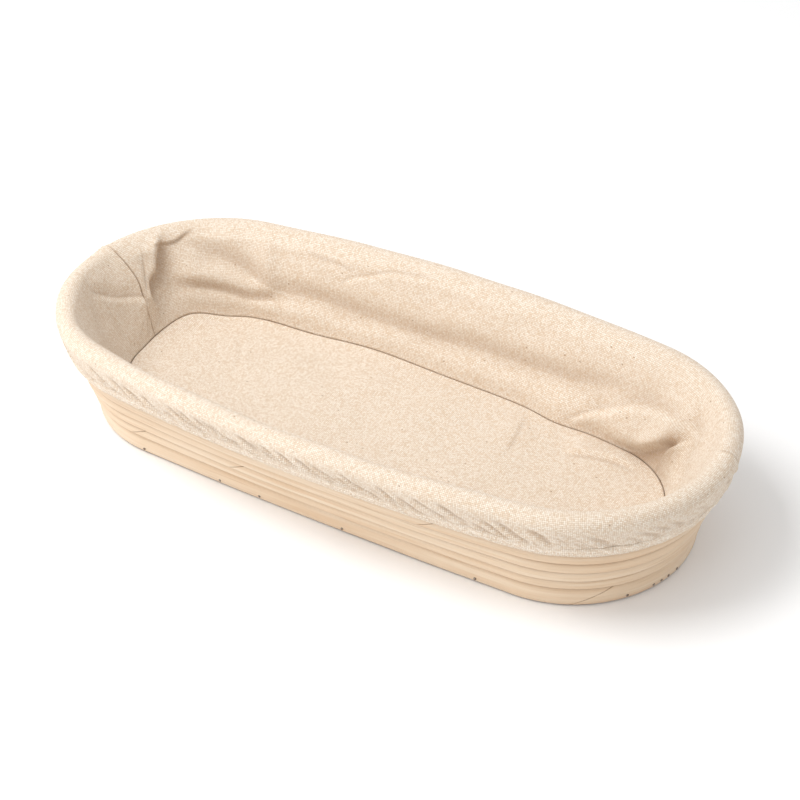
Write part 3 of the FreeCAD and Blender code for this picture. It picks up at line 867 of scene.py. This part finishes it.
def linerGrid(s):
    # every point of the bag's outer layer over the fractions s, its place on the flat cloth, and
    # how much painted shade it has
    theta = normalAngles(rollOval, s) + 2 * np.pi * np.floor(s)
    c, n = np.cos(theta), np.sin(theta)
    start = bellSum(s, seamRises) * slant
    points, normal, v = bagShape(theta, start)
    u = np.broadcast_to(s * rimLength, v.shape).copy()
    fromSeam = v - start[None]
    hang = v - wallLength - rollLength
    # folds die out over the rim and into the floor seam, where the seam's own edge is added
    swell, shade = foldHeight(u, v)
    onWall = smoothStep(wallLength + 0.004 - v, 0, 0.010)
    swell *= onWall * (1 - bell(fromSeam, 0.007))
    sway = swayHeight(u, v, 3, 26, 22, bag["sway"])
    swell += sway * smoothStep(fromSeam, 0, 0.012) * (0.35 + 0.65 * onWall)
    swell += standOff(fromSeam, *bag["seamEdge"])
    gathers = gatherHeight(u, hang) * smoothStep(hang, -0.004, 0.004)
    gathers *= 1 - 0.75 * smoothStep(hang, skirtLength - 0.006, skirtLength)
    # the cane behind stops a furrow from going deeper than the room there is
    room = gather["room"]
    swell += np.where(gathers < 0, room * np.tanh(gathers / room), gathers)
    # side seams: both halves dive to them, the one in front a little fuller
    for seam, fuller in ((bag["rightSeam"], 1), (bag["leftSeam"], -1)):
        gap = ((s - seam + 0.5) % 1 - 0.5) * rimLength
        edge = standOff(np.abs(gap), *bag["sideEdge"]) * np.where(gap * fuller < 0, 1.4, 0.6)
        swell += edge[None] * smoothStep(fromSeam, 0, 0.01)
        # painted shade along the side seam
        shade = np.maximum(shade, 0.75 * bell(gap, bag["seamLine"])[None])
    # painted shade along the floor seam
    shade = np.maximum(shade, seamShade(s)[None] * bell(fromSeam, bag["seamLine"]))
    # painted shade in the wall's hollows and in the skirt's furrows
    deep = hollowShade(swell, *bag["hollow"]) * smoothStep(fromSeam, 0, 0.004)
    deep *= smoothStep(wallLength - v, 0, 0.01)
    fine = hollowShade(swell, *bag["furrow"]) * (v > wallLength + rollLength * 0.8)
    shade = np.clip(np.maximum(shade, deep) + fine, 0, 1)
    # the seam line is drawn in over the floor, and the side seams wander a little to either side
    out = swell * normal[..., 0] - bellSum(s, seamDraws)[None] * bell(v, 0.014)
    along = np.zeros(v.shape)
    for seam, seed in ((bag["rightSeam"], 71), (bag["leftSeam"], 83)):
        gap = ((s - seam + 0.5) % 1 - 0.5) * rimLength
        wander = waves(v[:, 0] / 0.11, seed, (1, 2, 3, 5), 0.0012) * smoothStep(v[:, 0], 0.0, 0.02)
        along += wander[:, None] * bell(gap, 0.012)[None]
    points[..., 0] += out * c - along * n
    points[..., 1] += out * n + along * c
    points[..., 2] += swell * normal[..., 1]
    return points, np.stack([u, v], -1), shade


def panelSteps(first, last, seamFirst, seamLast):
    # fractions from first to last, closer together beside a sewn end
    s = np.linspace(first, last, 2001)
    density = np.ones(s.shape)
    if seamFirst:
        density += 4 * bell((s - first) * rimLength, 0.003)
    if seamLast:
        density += 4 * bell((last - s) * rimLength, 0.003)
    total = np.r_[0, np.cumsum((density[1:] + density[:-1]) / 2)]
    return np.interp(np.linspace(0, total[-1], bag["columns"]), total, s)


# (piece, first and last fraction, whether it is sewn there, nodes it replaces)
quarters = [
    ("linerBackRight", bag["rightSeam"], bag["backMeeting"], True, False, ("liner_back_panel",)),
    ("linerBackLeft", bag["backMeeting"], bag["leftSeam"], False, True, ("skirt_back",)),
    ("linerFrontLeft", bag["leftSeam"], bag["frontMeeting"], True, False, ("liner_front_panel",)),
    ("linerFrontRight", bag["frontMeeting"], 1 + bag["rightSeam"], False, True, ("skirt_front",)),
]
for name, first, last, seamFirst, seamLast, nodes in quarters:
    s = panelSteps(first, last, seamFirst, seamLast)
    points, uv, shade = linerGrid(s)
    mesh = gridMesh(name, points, uv, layers={"paintedShade": shade}, flip=True)
    piece = placePiece(name, mesh, linenCloth, "liner", nodes)
    thicken(piece, bag["thickness"])
print("liner walls made")

# floor panel
sole = {
    "rings": 70,
    "columns": 640,
    "thickness": 0.0009,
    "puff": 0.0016,             # how far the cloth swells inside the seam
    "sway": 0.0007,
}
soleCreases = [
    # (x, y) in mm, swell on the left and on the right of the way it runs, sharpness, reach, painted shade
    ([(90, 26), (98, 28.5), (109, 31), (120, 32), (133, 31)], 3.6, 0.3, 2.6, 11, 0.32),
    ([(58, 50), (62, 34), (64, 23), (66, 8)], 0.6, 0.8, 1.0, 9, 0.28),
    ([(-120, 36), (-104, 16), (-96, -4)], 0.8, 0.4, 2.0, 14, 0.1),
]


def solePoints():
    # rings from the seam (t = 1) to the panel's middle line (t = 0), crowded towards the seam
    s = np.linspace(0, 1, sole["columns"], endpoint=False)
    theta = normalAngles(rollOval, s)
    c, n = np.cos(theta), np.sin(theta)
    rise = bellSum(s, seamRises)
    out = rise * bag["lean"] - bellSum(s, seamDraws)
    seamX, seamY = ovalPoints(seamOval, theta)
    reach = seamOval[0] - seamOval[2]
    spineX = np.clip(seamX, -reach, reach)
    seamX, seamY = seamX + out * c, seamY + out * n
    t = 1 - np.linspace(0, 1, sole["rings"]) ** 1.7
    x = spineX[None] + (seamX - spineX)[None] * t[:, None]
    y = seamY[None] * t[:, None]
    inside = np.hypot(seamX[None] - x, seamY[None] - y)
    z = floorTop + rise[None] * np.exp(-inside / 0.010)
    z = z + standOff(inside, sole["puff"], 0.0008, 0.016)
    z = z + swayHeight(x, y, 5, 20, 24, sole["sway"]) * smoothStep(inside, 0, 0.02)
    # painted shade along the floor seam and along each crease
    shade = seamShade(s)[None] * bell(inside, 0.0006)
    for line, left, right, sharp, far, dark in soleCreases:
        path = smoothLine([(px * 1e-3, py * 1e-3) for px, py in line], 5 * len(line))
        d, side, along = nearestOnLine(x, y, path)
        fade = smoothStep(along, 0, 0.3) * smoothStep(1 - along, 0, 0.3)
        lift = fade * standOff(d, 1e-3, sharp * 1e-3, far * 1e-3)
        z = z + lift * np.where(side > 0, left, right) * smoothStep(inside, 0, 0.004)
        shade = np.maximum(shade, dark * fade * bell(d, 0.0012))
    return np.stack([x, y, z], -1), shade


points, shade = solePoints()
mesh = gridMesh("linerFloor", points, points[..., :2].copy(), closeU=True, layers={"paintedShade": shade})
weld(mesh)
piece = placePiece("linerFloor", mesh, linenCloth, "liner", ("liner_floor",))
thicken(piece, sole["thickness"])
print("liner floor made")


# hem casing, gathered on its elastic
def hemPoints(s, phi):
    # a flattened tube |x/a|^p + |z/b|^p = 1 that leans with the wall, and furrows as the skirt does
    theta = normalAngles(rollOval, s)
    c, n = np.cos(theta), np.sin(theta)
    power = 2 / hem["squareness"]
    flatX = np.sign(np.cos(phi)) * np.abs(np.cos(phi)) ** power * hem["halfThick"]
    flatZ = np.sign(np.sin(phi)) * np.abs(np.sin(phi)) ** power * hem["halfHeight"]
    u = s * rimLength
    low = waves(s, 61, (17, 29, 43, 66, 90), hem["sag"])
    z = flatZ + low * smoothStep(-flatZ, 0, hem["halfHeight"])
    hang = skirtLength + skirtEnd - z
    furrow = hem["furrowShare"] * gatherHeight(u, hang)
    furrow += waves(s, 62, (110, 150, 190, 240), hem["ripple"])
    pinch = sum(bell(flatZ - row, hem["pinchWidth"]) for row in hem["stitchRows"]) * hem["pinchDepth"]
    out = flatX + np.where(flatX > 0, furrow - pinch, furrow * 0.2) + z * hem["lean"]
    x, y = slideToOval(hemOval, *ovalPoints(rollOval, theta), theta)
    return np.stack([x + out * c, y + out * n, hemMiddle + z], -1)


s = np.linspace(0, 1, hem["columns"], endpoint=False)
phi = np.linspace(0, 2 * np.pi, hem["around"], endpoint=False)
sGrid, phiGrid = np.meshgrid(s, phi)
points = hemPoints(sGrid, phiGrid)
flatGrid = np.meshgrid(np.r_[s, 1] * rimLength,
                       np.linspace(0, 4 * hem["halfHeight"], hem["around"] + 1))
mesh = gridMesh("hemCasing", points, np.stack(flatGrid, -1), closeU=True, closeV=True,
                layers={"paintedShade": np.zeros(sGrid.shape)})
placePiece("hemCasing", mesh, linenCloth, "liner", ("hem_casing", "elastic_band"))


# stitches: short arched runs of thread along the casing's outer face
def stitchMesh(name):
    # each is a tube of six sides whose middle line is cos-arched above the cloth, closed at its ends
    count = int(rimLength / hem["stitchPitch"])
    steps = np.linspace(-1, 1, 5)
    sides = np.linspace(0, 2 * np.pi, 6, endpoint=False)
    random = np.random.default_rng(31)
    verts, faces = [], []
    ring = len(sides)
    for row in hem["stitchRows"]:
        phiRow = math.asin(np.sign(row) * (abs(row) / hem["halfHeight"]) ** 1.3)
        centre = (np.arange(count) + random.uniform(-0.12, 0.12, count)) / count
        run = centre[:, None] + steps[None] * hem["stitchLength"] / 2 / rimLength
        place = hemPoints(run, np.full(run.shape, phiRow))
        theta = normalAngles(rollOval, run)
        out = np.stack([np.cos(theta), np.sin(theta), np.zeros(run.shape)], -1)
        up = np.array([0.0, 0.0, 1.0])
        place = place + out * (hem["threadRadius"] * (0.9 * np.cos(steps * 1.4) - 0.2))[None, :, None]
        thick = hem["threadRadius"] * np.sqrt(1 - (0.93 * steps) ** 4)
        section = (np.cos(sides)[None, None, :, None] * out[:, :, None]
                  + np.sin(sides)[None, None, :, None] * up)
        tube = place[:, :, None] + thick[None, :, None, None] * section
        base = sum(len(block) for block in verts)
        verts.append(tube.reshape(-1, 3))
        start = base + np.arange(count)[:, None, None] * (len(steps) * ring)
        k = np.arange(len(steps) - 1)[None, :, None] * ring
        j = np.arange(ring)[None, None, :]
        nextJ = (j + 1) % ring
        quads = np.stack([start + k + j, start + k + ring + j, start + k + ring + nextJ,
                          start + k + nextJ], -1)
        faces += quads.reshape(-1, 4).tolist()
        ends = base + np.arange(count)[:, None] * (len(steps) * ring)
        faces += (ends + np.arange(ring)[None]).tolist()
        faces += (ends + (len(steps) - 1) * ring + np.arange(ring)[None, ::-1]).tolist()
    mesh = bpy.data.meshes.new(name)
    mesh.from_pydata(np.concatenate(verts).tolist(), [], faces)
    mesh.polygons.foreach_set("use_smooth", np.ones(len(faces), bool))
    mesh.update()
    return mesh


placePiece("hemStitches", stitchMesh("hemStitches"), threadCotton, "liner")
print("hem made")

# stage
studio = {
    "floor": 0.95,
    "level": -0.0002,           # just under the cane's lowest points
    "sky": 0.75,
    "key": {"place": (-0.56, -0.42, 1.20), "size": 0.7, "power": 12},
    "fill": {"place": (-0.45, -1.15, 0.6), "size": 0.9, "power": 3.0},
    "target": (0, 0, 0.03),
}
floorMesh = bpy.data.meshes.new("studioFloor")
corners = ((-4, -4), (4, -4), (4, 4), (-4, 4))
floorMesh.from_pydata([(x, y, studio["level"]) for x, y in corners], [], [(0, 1, 2, 3)])
floorPiece = bpy.data.objects.new("studioFloor", floorMesh)
bpy.context.scene.collection.objects.link(floorPiece)
floorMaterial, _, floorShader = newMaterial("studioWhite")
floorShader.inputs["Base Color"].default_value = (studio["floor"],) * 3 + (1,)
floorShader.inputs["Roughness"].default_value = 0.8
floorMesh.materials.append(floorMaterial)

world = bpy.data.worlds.new("studioWorld")
world.use_nodes = True
world.node_tree.nodes["Background"].inputs[0].default_value = (1, 1, 1, 1)
world.node_tree.nodes["Background"].inputs[1].default_value = studio["sky"]
bpy.context.scene.world = world
bpy.context.scene.view_settings.view_transform = "Standard"


def softLight(name, place, size, power):
    light = bpy.data.lights.new(name, "AREA")
    light.shape = "SQUARE"
    light.size = size
    light.energy = power
    lamp = bpy.data.objects.new(name, light)
    bpy.context.scene.collection.objects.link(lamp)
    lamp.location = place
    lamp.rotation_euler = (Vector(studio["target"]) - Vector(place)).to_track_quat("-Z", "Y").to_euler()


softLight("keyLight", **studio["key"])
softLight("frontLight", **studio["fill"])

view = {
    "azimuth": math.radians(32.92),
    "elevation": math.radians(36.13),
    "distance": 0.95571,
    "target": (0.0066121, 0.0060456, 0.03275),
    "roll": -0.0287,
    "lens": 83.58,
}


def placeCamera():
    # the camera looks at the target from azimuth and elevation, then turns by roll about its axis
    az, el, roll = view["azimuth"], view["elevation"], view["roll"]
    back = Vector((math.sin(az) * math.cos(el), -math.cos(az) * math.cos(el), math.sin(el)))
    right = Vector((math.cos(az), math.sin(az), 0))
    up = back.cross(right)
    turnedRight = right * math.cos(roll) + up * math.sin(roll)
    turnedUp = up * math.cos(roll) - right * math.sin(roll)
    data = bpy.data.cameras.new("productCamera")
    data.lens = view["lens"]
    data.sensor_width = 36
    data.clip_start = 0.01
    data.clip_end = 20
    camera = bpy.data.objects.new("productCamera", data)
    bpy.context.scene.collection.objects.link(camera)
    place = Vector(view["target"]) + back * view["distance"]
    axes = Matrix((turnedRight, turnedUp, back)).transposed().to_4x4()
    camera.matrix_world = Matrix.Translation(place) @ axes
    bpy.context.scene.camera = camera


placeCamera()
